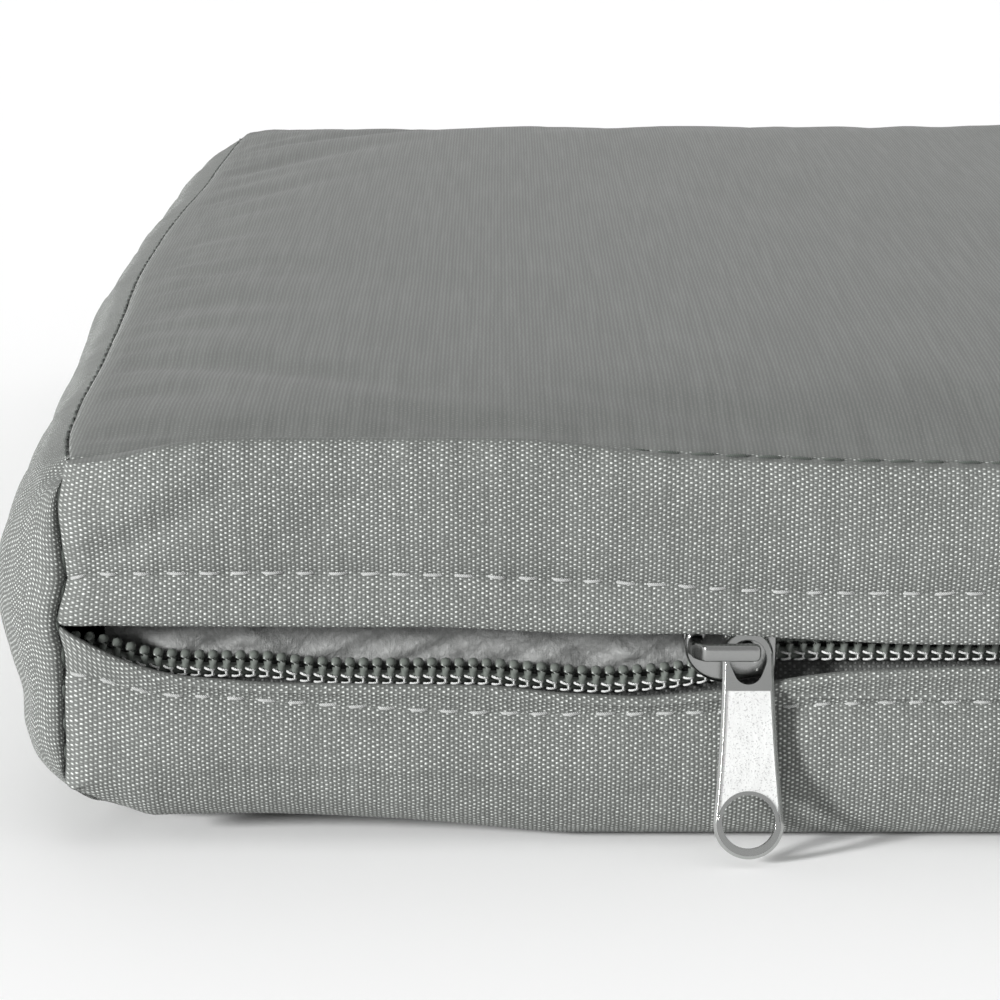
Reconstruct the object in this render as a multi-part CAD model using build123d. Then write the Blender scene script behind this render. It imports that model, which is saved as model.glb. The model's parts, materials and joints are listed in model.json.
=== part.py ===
"""Kneeling pad: a foam core in a spunbond liner and a boxed fabric cover, closed by a coil zip.

Millimetres, +Z up, +X along the zip. The origin is the centre of the underside, and the zip is on
the -Y side. The zip is open from the left corner to the slider.
"""
from build123d import *
import os

# The pad: its length takes in part of the bulge of its ends past their corner seams
LENGTH = 436.0
WIDTH = 280.0
HEIGHT = 46.0
EDGE_HEIGHT = 42.2
BOTTOM_SEAM_HEIGHT = 5.0
BOTTOM_SEAM_INSET = 7.0
CORNER_SEAM = 215.0
HALF_LENGTH = LENGTH / 2
HALF_WIDTH = WIDTH / 2

# Thicknesses, and the liner's front face behind the zip
FABRIC = 0.6
LINER = 0.4
LINER_FRONT = -132.9
FRONT = -HALF_WIDTH

# The zip: places across the zip are measured from its centre line
ZIP_HEIGHT = 22.2
UPPER_FLAP_EDGE = 3.2
LOWER_FLAP_EDGE = -4.8
HEM_DEPTH = 12.0
UPPER_STITCH = 8.3
LOWER_STITCH = -6.4
FLAP_BACK = FRONT + 2 * FABRIC

# The zip's layers, front to back
FLAP_CLEARANCE = 0.2
COIL_CLEARANCE = 0.4
TAPE_CLEARANCE = 0.3
PLATE_THICK = 1.0
COIL_THICK = 2.0
TAPE_THICK = 0.6
PLATE_FRONT = FLAP_BACK + FLAP_CLEARANCE
COIL_FRONT = PLATE_FRONT + PLATE_THICK + COIL_CLEARANCE
COIL_BACK = COIL_FRONT + COIL_THICK
TAPE_BACK = COIL_BACK + TAPE_THICK
REAR_PLATE_FRONT = TAPE_BACK + TAPE_CLEARANCE
REAR_PLATE_BACK = REAR_PLATE_FRONT + PLATE_THICK
TAPE_BEND_START = 5.4
TAPE_BEND_END = 7.4
TAPE_EDGE = 14.0
ZIP_END_DIP_BELOW = 8.0
ZIP_END_DIP_ABOVE = 4.0

# The coils: half height of one coil and where its centre line runs
COIL_HALF = 1.1
CLOSED_OFFSET = 1.15
NOSE_OFFSET = 2.5
UPPER_OPEN_OFFSET = 3.4
LOWER_OPEN_OFFSET = 2.9
SPREAD_LENGTH = 9.0
LOWER_SAG = 1.0
LOWER_SAG_LENGTH = 22.0
LOWER_RISE = 2.9
LOWER_RISE_START = 20.0
LOWER_RISE_LENGTH = 18.0
CORE_START = 0.1
CORE_HALF = 0.4
SEWING_LOW = 0.3
SEWING_HIGH = 0.8
STATION_STEP = 1.25
CLOSED_FROM = 1.0
ZIP_END = HALF_LENGTH - 1.5

# The slider
SLIDER_X = -CORNER_SEAM + 69.6
NOSE = 4.9
NOSE_ROUND = 4.4
SHOULDER_HALF = 4.2
TAIL_HALF = 3.25
CHANNEL_SHOULDER_HALF = 3.45
CHANNEL_TAIL_HALF = 2.65
FLANGE_START = -2.5
FLANGE_INSET = 0.25
FLANGE_TAPE_GAP = 0.3
EDGE_ROUNDING = 0.3
POST_HALF = 0.75
POST_POINT_HALF = 0.15
POST_FRONT = -4.0
POST_WIDE_END = -3.2
POST_TAIL = -1.4

# The bridge: a strap bent up from the front wing, and the round foot that the tab turns on
BRIDGE_LEFT = -4.35
BRIDGE_RIGHT = 3.0
BRIDGE_HALF = 0.95
BRIDGE_CORNER = 0.5
BRIDGE_WINDOW = 2.5
BRIDGE_THICK = 1.2
SHOULDER_OUT = 1.9
SHOULDER_X = -2.9
LEFT_FOOT_LENGTH = 1.3
FOOT_OFFSET = 1.7
FOOT_RADIUS = 0.65
FOOT_SINK = 0.2
PIVOT_SHIFT = 0.15

# The pull tab, in its own plane, from the centre of the bridge's foot
TAB_LEAN = 15.0
TAB_THICK = 1.2
TAB_TOP = 2.0
TAB_BOTTOM = -22.0
TAB_NECK_HALF = 2.65
TAB_END_HALF = 3.7
TAB_SIDE_RADIUS = 195.0
TAB_HOLE_Y = -18.1
TAB_HOLE_RADIUS = 2.8
HOLE_COLLAR = 0.4
EYE_TOP = 0.95
EYE_BOTTOM = -3.75
EYE_TOP_RADIUS = 2.0
EYE_BOTTOM_RADIUS = 1.5
PANEL_TOP = -4.4
PANEL_RIM = 0.45
PANEL_RECESS = 0.2
TAB_ROUNDING = 0.3

# Sewing thread
THREAD = 0.3


def ease(amount):
    """A smooth step from 0 to 1."""
    amount = min(1.0, max(0.0, amount))
    return amount * amount * (3 - 2 * amount)


def box_between(low, high):
    """An upright box between two corners."""
    size = [b - a for a, b in zip(low, high)]
    middle = [(a + b) / 2 for a, b in zip(low, high)]
    return Pos(*middle) * Box(*size)


def save(node, shape):
    """Writes one sub-part."""
    shape.label = node
    export_step(shape, f"parts/{node}.step")


# ---------------------------------------------------------------- soft shapes

def outline(half, inset):
    """Cross-section of the pad: flat underside, turned-up edges, upright sides and crowned top."""
    side, top = half - inset, EDGE_HEIGHT - inset
    foot = half - BOTTOM_SEAM_INSET
    return make_face([
        Line((-foot, inset), (foot, inset)),
        Line((foot, inset), (side, BOTTOM_SEAM_HEIGHT)),
        Line((side, BOTTOM_SEAM_HEIGHT), (side, top)),
        ThreePointArc((side, top), (0, HEIGHT - inset), (-side, top)),
        Line((-side, top), (-side, BOTTOM_SEAM_HEIGHT)),
        Line((-side, BOTTOM_SEAM_HEIGHT), (-foot, inset)),
    ])


def pillow(inset):
    """The pad's outer form, set in by the inset on every side."""
    along = extrude(Plane.XZ * outline(HALF_LENGTH, inset), amount=WIDTH, both=True)
    across = extrude(Plane.YZ * outline(HALF_WIDTH, inset), amount=LENGTH, both=True)
    return along & across


FAR = 2 * LENGTH
outer = pillow(0)
cavity = pillow(FABRIC)
shell = outer - cavity
liner_outer = cavity & box_between((-FAR, LINER_FRONT, -FAR), (FAR, FAR, FAR))
foam_front = LINER_FRONT + LINER
foam_core = pillow(FABRIC + LINER) & box_between((-FAR, foam_front, -FAR), (FAR, FAR, FAR))
inner_liner = liner_outer - foam_core

SEAM_LAP = 1.0
TOP_CUT = EDGE_HEIGHT - SEAM_LAP
BOTTOM_CUT = BOTTOM_SEAM_HEIGHT + SEAM_LAP
WALL_X = HALF_LENGTH - SEAM_LAP
WALL_Y = HALF_WIDTH - SEAM_LAP
top_panel = shell & box_between((-FAR, -FAR, TOP_CUT), (FAR, FAR, FAR))
bottom_panel = shell & box_between((-FAR, -FAR, -FAR), (FAR, FAR, BOTTOM_CUT))
walls = shell & box_between((-FAR, -FAR, BOTTOM_CUT), (FAR, FAR, TOP_CUT))
# The corner seams dip in where the zip's ends are sewn in
zip_end_dip = box_between((-FAR, -FAR, ZIP_HEIGHT - ZIP_END_DIP_BELOW),
                          (FAR, FLAP_BACK, ZIP_HEIGHT + ZIP_END_DIP_ABOVE))
end_walls = walls - zip_end_dip
side_panel_left = end_walls & box_between((-FAR, -FAR, 0), (-WALL_X, FAR, FAR))
side_panel_right = end_walls & box_between((WALL_X, -FAR, 0), (FAR, FAR, FAR))
back_panel = walls & box_between((-WALL_X, WALL_Y, 0), (WALL_X, FAR, FAR))


def zip_facing(edge, far):
    """Half of the front boxing: one layer of cloth with its edge at the zip turned in."""
    hem = edge + HEM_DEPTH if far > ZIP_HEIGHT else edge - HEM_DEPTH
    low, high = sorted((ZIP_HEIGHT + edge, far))
    hem_low, hem_high = sorted((ZIP_HEIGHT + edge, ZIP_HEIGHT + hem))
    layer = box_between((-WALL_X, FRONT, low), (WALL_X, FRONT + FABRIC, high))
    turned = box_between((-WALL_X, FRONT + FABRIC, hem_low), (WALL_X, FLAP_BACK, hem_high))
    return layer + turned


zip_facing_upper = zip_facing(UPPER_FLAP_EDGE, TOP_CUT)
zip_facing_lower = zip_facing(LOWER_FLAP_EDGE, BOTTOM_CUT)

# ---------------------------------------------------------------- the zip's coils and tapes


def coil_offset(x, side):
    """Height of a coil's centre line over the zip's centre line, for side +1 upper or -1 lower."""
    behind_nose = SLIDER_X - NOSE - x
    spread = (NOSE_OFFSET - CLOSED_OFFSET) * ease((SLIDER_X + CLOSED_FROM - x) / (NOSE + CLOSED_FROM))
    open_offset = UPPER_OPEN_OFFSET if side > 0 else LOWER_OPEN_OFFSET
    offset = CLOSED_OFFSET + spread + (open_offset - NOSE_OFFSET) * ease(behind_nose / SPREAD_LENGTH)
    if side < 0:
        offset -= LOWER_SAG * ease((behind_nose - SPREAD_LENGTH) / LOWER_SAG_LENGTH)
        offset -= LOWER_RISE * ease((LOWER_RISE_START - CORNER_SEAM - x) / LOWER_RISE_LENGTH)
    return side * offset


def zip_stations():
    """Places along the zip at which the coils' lines are taken."""
    stations = []
    x = -ZIP_END
    while x < SLIDER_X + CLOSED_FROM:
        stations.append(x)
        x += STATION_STEP
    return stations + [SLIDER_X + CLOSED_FROM, ZIP_END]


def ribbon(side, low, high, front, back):
    """A strip that follows a coil's line, between two heights over it and two depths."""
    stations = zip_stations()
    bottom = [(x, ZIP_HEIGHT + coil_offset(x, side) + low) for x in stations]
    top = [(x, ZIP_HEIGHT + coil_offset(x, side) + high) for x in reversed(stations)]
    face = make_face(Polyline(*bottom, *top, close=True))
    strip = extrude(Plane.XZ * face, amount=back - front)
    return Pos(0, back, 0) * strip


def zip_half(side):
    """One side of the zip: the coil, its core cord, its sewing thread and its tape."""
    coil_middle = (COIL_FRONT + COIL_BACK) / 2
    inner, outer_edge = sorted((-COIL_HALF * side, COIL_HALF * side))
    cord_low, cord_high = sorted((CORE_START * side, (CORE_START + 2 * CORE_HALF) * side))
    cord = ribbon(side, cord_low, cord_high, coil_middle - CORE_HALF, coil_middle + CORE_HALF)
    coil = ribbon(side, inner, outer_edge, COIL_FRONT, COIL_BACK) - cord
    thread_low, thread_high = sorted((SEWING_LOW * side, SEWING_HIGH * side))
    thread = ribbon(side, thread_low, thread_high, COIL_FRONT - THREAD / 2, COIL_FRONT)

    stations = zip_stations()
    bend, end, rim = (ZIP_HEIGHT + side * d for d in (TAPE_BEND_START, TAPE_BEND_END, TAPE_EDGE))
    inner_line = [(x, ZIP_HEIGHT + coil_offset(x, side)) for x in stations]
    strip = make_face(Polyline(*inner_line, (ZIP_END, bend), (-ZIP_END, bend), close=True))
    strip = Pos(0, TAPE_BACK, 0) * extrude(Plane.XZ * strip, amount=TAPE_THICK)
    fold = make_face(Polyline(
        (COIL_BACK, bend), (FLAP_BACK, end), (FLAP_BACK, rim),
        (FLAP_BACK + TAPE_THICK, rim), (FLAP_BACK + TAPE_THICK, end), (TAPE_BACK, bend),
        close=True,
    ))
    tape = strip + extrude(Plane.YZ * fold, amount=ZIP_END, both=True)
    return coil, cord, thread, tape


# ---------------------------------------------------------------- the slider and its tab

def tab_plane():
    """The pull tab's plane: it hangs from the bridge's foot and leans out at its lower end."""
    pivot_y = PLATE_FRONT - BRIDGE_WINDOW / 2 - PIVOT_SHIFT
    pivot = Vector(SLIDER_X + FOOT_OFFSET, pivot_y, ZIP_HEIGHT)
    facing_out = Vector(0, -1, 0).rotate(Axis.X, -TAB_LEAN)
    return Plane(origin=pivot, x_dir=(1, 0, 0), z_dir=facing_out)


def at_slider(face, front, back):
    """A slider's plate or rib: an outline across the zip, between two depths."""
    solid = extrude(Plane.XZ * face, amount=back - front)
    return Pos(SLIDER_X, back, ZIP_HEIGHT) * solid


def plate_outline():
    """A wing of the slider: a round nose and a narrow, straight tail."""
    nose = Pos(NOSE_ROUND - NOSE, 0) * Ellipse(NOSE_ROUND, SHOULDER_HALF)
    start = NOSE_ROUND - NOSE
    tail = make_face(Polyline(
        (start, -SHOULDER_HALF), (NOSE, -TAIL_HALF), (NOSE, TAIL_HALF), (start, SHOULDER_HALF),
        close=True,
    ))
    left_half = Pos(start - NOSE, 0) * Rectangle(2 * NOSE, 4 * SHOULDER_HALF)
    return (nose & left_half) + tail


def flange(side):
    """A rib along one edge of the front wing that holds a coil in the slider."""
    face = make_face(Polyline(
        (FLANGE_START, side * CHANNEL_SHOULDER_HALF), (NOSE, side * CHANNEL_TAIL_HALF),
        (NOSE, side * TAIL_HALF), (FLANGE_START, side * (SHOULDER_HALF - FLANGE_INSET)), close=True,
    ))
    return at_slider(face, PLATE_FRONT + PLATE_THICK, COIL_BACK - FLANGE_TAPE_GAP)


def bridge():
    """The cast loop on the front wing that the pull tab hangs from."""
    top = BRIDGE_WINDOW + BRIDGE_THICK
    inner = BRIDGE_LEFT + LEFT_FOOT_LENGTH
    bend = make_face(Polyline(
        (BRIDGE_LEFT, 0), (BRIDGE_LEFT, SHOULDER_OUT), (SHOULDER_X, top), (BRIDGE_RIGHT, top),
        (BRIDGE_RIGHT, BRIDGE_WINDOW), (inner, BRIDGE_WINDOW), (inner, 0), close=True,
    ))
    from_below = Plane(origin=(SLIDER_X, PLATE_FRONT, ZIP_HEIGHT), x_dir=(1, 0, 0), z_dir=(0, 0, -1))
    strap = extrude(from_below * bend, amount=BRIDGE_HALF, both=True)
    front_view = RectangleRounded(BRIDGE_RIGHT - BRIDGE_LEFT, 2 * BRIDGE_HALF, BRIDGE_CORNER)
    front_view = Pos((BRIDGE_RIGHT + BRIDGE_LEFT) / 2, 0) * front_view
    strap &= at_slider(front_view, PLATE_FRONT - top, PLATE_FRONT)
    rounded = strap.faces().sort_by(Axis.Y)[0].edges().filter_by(Axis.Z, reverse=True)
    strap = chamfer(rounded, EDGE_ROUNDING)
    foot = tab_plane().location * Cylinder(FOOT_RADIUS, 2 * BRIDGE_WINDOW)
    foot_back, foot_front = PLATE_FRONT + FOOT_SINK, PLATE_FRONT - BRIDGE_WINDOW - FOOT_SINK
    foot &= box_between((-FAR, foot_front, 0), (0, foot_back, HEIGHT))
    return strap + foot


def slider():
    """The slider: two wings joined by the post, with flanges and the bridge."""
    wing = at_slider(plate_outline(), PLATE_FRONT, PLATE_FRONT + PLATE_THICK)
    wing = chamfer(wing.faces().sort_by(Axis.Y)[0].edges(), EDGE_ROUNDING)
    rear = at_slider(plate_outline(), REAR_PLATE_FRONT, REAR_PLATE_BACK)
    post_face = make_face(Polyline(
        (POST_FRONT, -POST_HALF), (POST_WIDE_END, -POST_HALF), (POST_TAIL, -POST_POINT_HALF),
        (POST_TAIL, POST_POINT_HALF), (POST_WIDE_END, POST_HALF), (POST_FRONT, POST_HALF), close=True,
    ))
    post = at_slider(post_face, PLATE_FRONT + PLATE_THICK, REAR_PLATE_FRONT)
    return wing + rear + post + flange(1) + flange(-1) + bridge()


def tab_outline(grow):
    """The tab's edge: a round neck and a round end, joined smoothly by wide hollow sides."""
    neck, end, side = TAB_NECK_HALF + grow, TAB_END_HALF + grow, TAB_SIDE_RADIUS - grow
    neck_y, end_y = TAB_TOP - TAB_NECK_HALF, TAB_BOTTOM + TAB_END_HALF
    gap, to_neck, to_end = neck_y - end_y, side + neck, side + end
    rise = (to_end**2 - to_neck**2 + gap**2) / (2 * gap)
    side_centre = Vector((to_end**2 - rise**2) ** 0.5, end_y + rise)
    neck_touch = Vector(0, neck_y) + (side_centre - Vector(0, neck_y)) * (neck / to_neck)
    end_touch = Vector(0, end_y) + (side_centre - Vector(0, end_y)) * (end / to_end)
    inward = ((neck_touch + end_touch) * 0.5 - side_centre).normalized()
    waist = side_centre + inward * side

    def mirrored(point):
        return Vector(-point.X, point.Y)

    return make_face([
        ThreePointArc(mirrored(neck_touch), (0, neck_y + neck), neck_touch),
        ThreePointArc(neck_touch, waist, end_touch),
        ThreePointArc(end_touch, (0, end_y - end), mirrored(end_touch)),
        ThreePointArc(mirrored(end_touch), mirrored(waist), mirrored(neck_touch)),
    ])


def pull_tab():
    """The pull tab: an eye round the bridge's foot, a sunk panel on each face and a round hole."""
    eye_top = Pos(0, EYE_TOP - EYE_TOP_RADIUS) * Circle(EYE_TOP_RADIUS)
    eye_bottom = Pos(0, EYE_BOTTOM + EYE_BOTTOM_RADIUS) * Circle(EYE_BOTTOM_RADIUS)
    eye = make_hull((eye_top + eye_bottom).edges())
    tab = extrude(tab_outline(0), amount=TAB_THICK / 2, both=True)
    rims = tab.faces().sort_by(Axis.Z)
    tab = chamfer(rims[0].edges() + rims[-1].edges(), TAB_ROUNDING)
    tab -= extrude(eye, amount=TAB_THICK, both=True)
    tab -= Pos(0, TAB_HOLE_Y) * Cylinder(TAB_HOLE_RADIUS, 2 * TAB_THICK)
    band_middle, band_length = (PANEL_TOP + TAB_HOLE_Y) / 2, PANEL_TOP - TAB_HOLE_Y
    band = Pos(0, band_middle) * Rectangle(4 * TAB_END_HALF, band_length)
    collar = Pos(0, TAB_HOLE_Y) * Circle(TAB_HOLE_RADIUS + HOLE_COLLAR)
    recess = extrude((tab_outline(-PANEL_RIM) & band) - collar, amount=PANEL_RECESS)
    tab -= Pos(0, 0, TAB_THICK / 2 - PANEL_RECESS) * recess
    tab -= Pos(0, 0, -TAB_THICK / 2) * recess
    return tab_plane().location * tab


# ---------------------------------------------------------------- sewing thread

def seam_ring(low):
    """Thread round the whole pad at a seam's height, outside the cloth."""
    ring = box_between((-HALF_LENGTH - THREAD, -HALF_WIDTH - THREAD, low),
                       (HALF_LENGTH + THREAD, HALF_WIDTH + THREAD, low + THREAD))
    return ring - box_between((-HALF_LENGTH, -HALF_WIDTH, low),
                              (HALF_LENGTH, HALF_WIDTH, low + THREAD))


def topstitch(height):
    """A row of stitching along a hem, on the face of the front boxing."""
    middle = ZIP_HEIGHT + height
    return box_between((-WALL_X, FRONT - THREAD, middle - THREAD / 2),
                       (WALL_X, FRONT, middle + THREAD / 2))


def corner_thread():
    """The four upright seams of the boxing."""
    seams = []
    for x in (-HALF_LENGTH, HALF_LENGTH):
        for y in (-HALF_WIDTH, HALF_WIDTH):
            low = (x - THREAD / 2, y - THREAD / 2, BOTTOM_CUT + THREAD)
            high = (x + THREAD / 2, y + THREAD / 2, TOP_CUT - THREAD)
            seam = box_between(low, high) - outer
            if y < 0:
                seam -= zip_end_dip
            seams += seam.solids()
    return Compound(children=seams)


os.makedirs("parts", exist_ok=True)
nodes = {
    "foam_core": foam_core,
    "inner_liner": inner_liner,
    "top_panel": top_panel,
    "bottom_panel": bottom_panel,
    "side_panel_left": side_panel_left,
    "side_panel_right": side_panel_right,
    "back_panel": back_panel,
    "zip_facing_upper": zip_facing_upper,
    "zip_facing_lower": zip_facing_lower,
    "slider_body": slider(),
    "pull_tab": pull_tab(),
    "topstitch_upper": topstitch(UPPER_STITCH),
    "topstitch_lower": topstitch(LOWER_STITCH),
    "seam_thread_top": seam_ring(TOP_CUT),
    "seam_thread_bottom": seam_ring(BOTTOM_CUT),
    "seam_thread_corners": corner_thread(),
}
for name, side in (("upper", 1), ("lower", -1)):
    coil, cord, thread, tape = zip_half(side)
    nodes[f"zip_coil_{name}"] = coil
    nodes[f"coil_core_cord_{name}"] = cord
    nodes[f"coil_stitching_{name}"] = thread
    nodes[f"zip_tape_{name}"] = tape

for node, shape in nodes.items():
    save(node, shape)
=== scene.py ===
"""A foam kneeling pad in a boxed woven cover, with a coil zip that is open at its left corner.

Everything is placed from the CAD frame. Lengths in this script are millimetres, and become metres
as each mesh is made. Heights on the front are given over the zip's centre line.
"""
import json
import math

import bmesh
import bpy
import numpy as np
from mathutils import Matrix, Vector


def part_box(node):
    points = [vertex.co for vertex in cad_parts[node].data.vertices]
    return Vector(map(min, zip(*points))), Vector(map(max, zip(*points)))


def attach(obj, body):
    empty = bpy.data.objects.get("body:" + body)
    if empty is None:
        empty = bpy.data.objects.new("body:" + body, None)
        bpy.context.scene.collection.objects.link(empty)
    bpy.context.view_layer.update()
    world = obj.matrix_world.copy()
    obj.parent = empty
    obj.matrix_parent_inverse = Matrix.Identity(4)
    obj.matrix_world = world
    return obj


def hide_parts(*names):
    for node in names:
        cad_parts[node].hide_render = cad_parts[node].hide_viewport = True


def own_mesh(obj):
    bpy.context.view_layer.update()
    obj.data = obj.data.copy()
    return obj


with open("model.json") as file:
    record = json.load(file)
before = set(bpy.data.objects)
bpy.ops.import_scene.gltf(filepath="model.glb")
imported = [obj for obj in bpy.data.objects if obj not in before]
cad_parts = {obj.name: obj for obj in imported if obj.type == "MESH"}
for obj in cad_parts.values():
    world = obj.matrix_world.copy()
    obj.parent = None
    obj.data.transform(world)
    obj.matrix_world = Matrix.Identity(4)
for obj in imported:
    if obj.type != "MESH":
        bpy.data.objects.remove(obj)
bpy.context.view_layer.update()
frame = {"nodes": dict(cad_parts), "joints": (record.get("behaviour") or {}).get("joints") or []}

MM = 0.001

# ------------------------------------------------------------------ sizes, from the frame


def node_box(node):
    """A CAD node's lowest and highest corners, in millimetres."""
    low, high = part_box(node)
    return np.array(low) / MM, np.array(high) / MM


slider_low, slider_high = node_box("slider_body")
coil_low, coil_high = node_box("zip_coil_upper")
SLIDER_X = (slider_low[0] + slider_high[0]) / 2
ZIP_Z = (slider_low[2] + slider_high[2]) / 2
COIL_Y = (coil_low[1] + coil_high[1]) / 2
FRONT_Y = node_box("zip_facing_upper")[0][1]
BACK_Y = node_box("back_panel")[1][1]
CROWN_Z = node_box("top_panel")[1][2]
SEAM_X = 215.0
LEFT, RIGHT = -SEAM_X, SEAM_X
SPAN = RIGHT - LEFT
HEM_Z = ZIP_Z - 0.4
SEAM_Y = FRONT_Y + 2.7
BACK_SEAM_Y = BACK_Y - 2.7
ON_FLOOR = 0.03


# ------------------------------------------------------------------ small maths

def ease(t):
    """A smooth step from 0 to 1."""
    t = np.clip(t, 0.0, 1.0)
    return t * t * (3 - 2 * t)


def bell(distance, width):
    """1 at a place, falling to 0 over a width."""
    return np.exp(-(np.asarray(distance, float) / width) ** 2)


def curve_through(points, at):
    """A smooth line through (place, value) points, level past its ends."""
    xs, ys = np.array(points, float).T
    at = np.clip(np.asarray(at, float), xs[0], xs[-1])
    rises = np.abs(np.diff(ys) / np.diff(xs))
    most = 3 * np.minimum(np.append(rises, rises[-1]), np.insert(rises, 0, rises[0]))
    slopes = np.clip(np.gradient(ys, xs), -most, most)
    i = np.clip(np.searchsorted(xs, at) - 1, 0, len(xs) - 2)
    h = xs[i + 1] - xs[i]
    t = (at - xs[i]) / h
    return ((2 * t**3 - 3 * t**2 + 1) * ys[i] + (t**3 - 2 * t**2 + t) * h * slopes[i]
            + (3 * t**2 - 2 * t**3) * ys[i + 1] + (t**3 - t**2) * h * slopes[i + 1])


def wander(at, wavelength, seed):
    """A gentle uneven wave between about -1 and 1."""
    at = np.asarray(at, float)
    parts = np.random.default_rng(seed).uniform(0, 2 * np.pi, 4)
    total = 0
    for k, phase in enumerate(parts):
        total = total + np.sin(2 * np.pi * at * (1 + 0.37 * k) / wavelength + phase) / (1 + 0.6 * k)
    return total / 2.2


# ------------------------------------------------------------------ mesh building

def make_mesh(name, points, faces, weave=None, smooth=True):
    """A mesh object from points in millimetres, with each point's place in the weave."""
    mesh = bpy.data.meshes.new(name)
    mesh.from_pydata((np.asarray(points, float) * MM).tolist(), [], faces)
    if weave is not None:
        data = np.zeros((len(points), 3))
        data[:, :2] = np.asarray(weave).reshape(-1, 2)
        layer = mesh.attributes.new("weave", "FLOAT_VECTOR", "POINT")
        layer.data.foreach_set("vector", data.astype(np.float32).ravel())
    mesh.polygons.foreach_set("use_smooth", [smooth] * len(mesh.polygons))
    mesh.update()
    piece = bpy.data.objects.new(name, mesh)
    bpy.context.scene.collection.objects.link(piece)
    return piece


def arc_lengths(points, axis):
    """Distance travelled along one direction of a grid of points."""
    steps = np.linalg.norm(np.diff(points, axis=axis), axis=-1)
    pad = [(0, 0), (0, 0)]
    pad[axis] = (1, 0)
    return np.cumsum(np.pad(steps, pad), axis=axis)


def grid_faces(rows, columns, flip=False, base=0):
    """Faces of a grid of rows by columns."""
    faces = []
    for r in range(rows - 1):
        for c in range(columns - 1):
            a = base + r * columns + c
            quad = (a, a + 1, a + columns + 1, a + columns)
            faces.append(quad[::-1] if flip else quad)
    return faces


def cloth_grid(name, points, along, flip=False):
    """A cloth piece from a grid (rows up the cloth, columns along it); along is each column's place."""
    rows, columns, _ = points.shape
    points[..., 2] = np.maximum(points[..., 2], ON_FLOOR)
    up = arc_lengths(points, 0)
    weave = np.stack([np.broadcast_to(along, (rows, columns)), up], axis=-1)
    return make_mesh(name, points.reshape(-1, 3), grid_faces(rows, columns, flip), weave)


def tube(path, radius, sides=6, closed=True):
    """Points and faces of a round tube along a path, with rounded-off ends."""
    path = np.asarray(path, float)
    tangent = np.gradient(path, axis=0)
    tangent /= np.linalg.norm(tangent, axis=1)[:, None] + 1e-12
    guide = np.array([0.03, 0.21, 0.97])
    first = np.cross(tangent, guide)
    first /= np.linalg.norm(first, axis=1)[:, None] + 1e-12
    second = np.cross(tangent, first)
    radii = np.broadcast_to(np.asarray(radius, float), (len(path),))
    angles = np.arange(sides) * 2 * np.pi / sides
    ring = np.cos(angles)[:, None] * first[:, None] + np.sin(angles)[:, None] * second[:, None]
    points = (path[:, None] + ring * radii[:, None, None]).reshape(-1, 3)
    faces = []
    for i in range(len(path) - 1):
        for k in range(sides):
            a, b = i * sides + k, i * sides + (k + 1) % sides
            faces.append((a, b, b + sides, a + sides))
    if closed:
        faces.append(tuple(range(sides))[::-1])
        last = (len(path) - 1) * sides
        faces.append(tuple(last + k for k in range(sides)))
    return points, faces


def merged(parts):
    """One list of points and faces from several."""
    points, faces, base = [], [], 0
    for part_points, part_faces in parts:
        points.append(part_points)
        faces += [tuple(base + i for i in face) for face in part_faces]
        base += len(part_points)
    return np.concatenate(points), faces


def stitch_row(line, normal, length, pitch, radius, seed):
    """Separate stitches along a line of points: short threads that dive into the cloth at both ends."""
    line = np.asarray(line, float)
    travelled = np.concatenate([[0], np.cumsum(np.linalg.norm(np.diff(line, axis=0), axis=1))])
    parts = []
    place_now = 0.0
    jitter = np.random.default_rng(seed)
    while place_now + length < travelled[-1]:
        own = length * jitter.uniform(0.88, 1.1)
        at = place_now + np.linspace(0, own, 8)
        centre = np.stack([np.interp(at, travelled, line[:, k]) for k in range(3)], axis=1)
        out = np.stack([np.interp(at, travelled, normal[:, k]) for k in range(3)], axis=1)
        arch = np.sin(np.linspace(0.02, np.pi - 0.02, 8)) ** 0.5
        centre = centre + out * (radius * (2.4 * arch - 1.6))[:, None]
        slant = np.linspace(-1, 1, 8) * radius * jitter.uniform(-0.25, 0.6)
        centre[:, 2] += slant
        parts.append(tube(centre, radius * (0.7 + 0.3 * arch), 6))
        place_now += pitch * jitter.uniform(0.95, 1.05)
    return merged(parts)


# ------------------------------------------------------------------ materials

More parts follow.
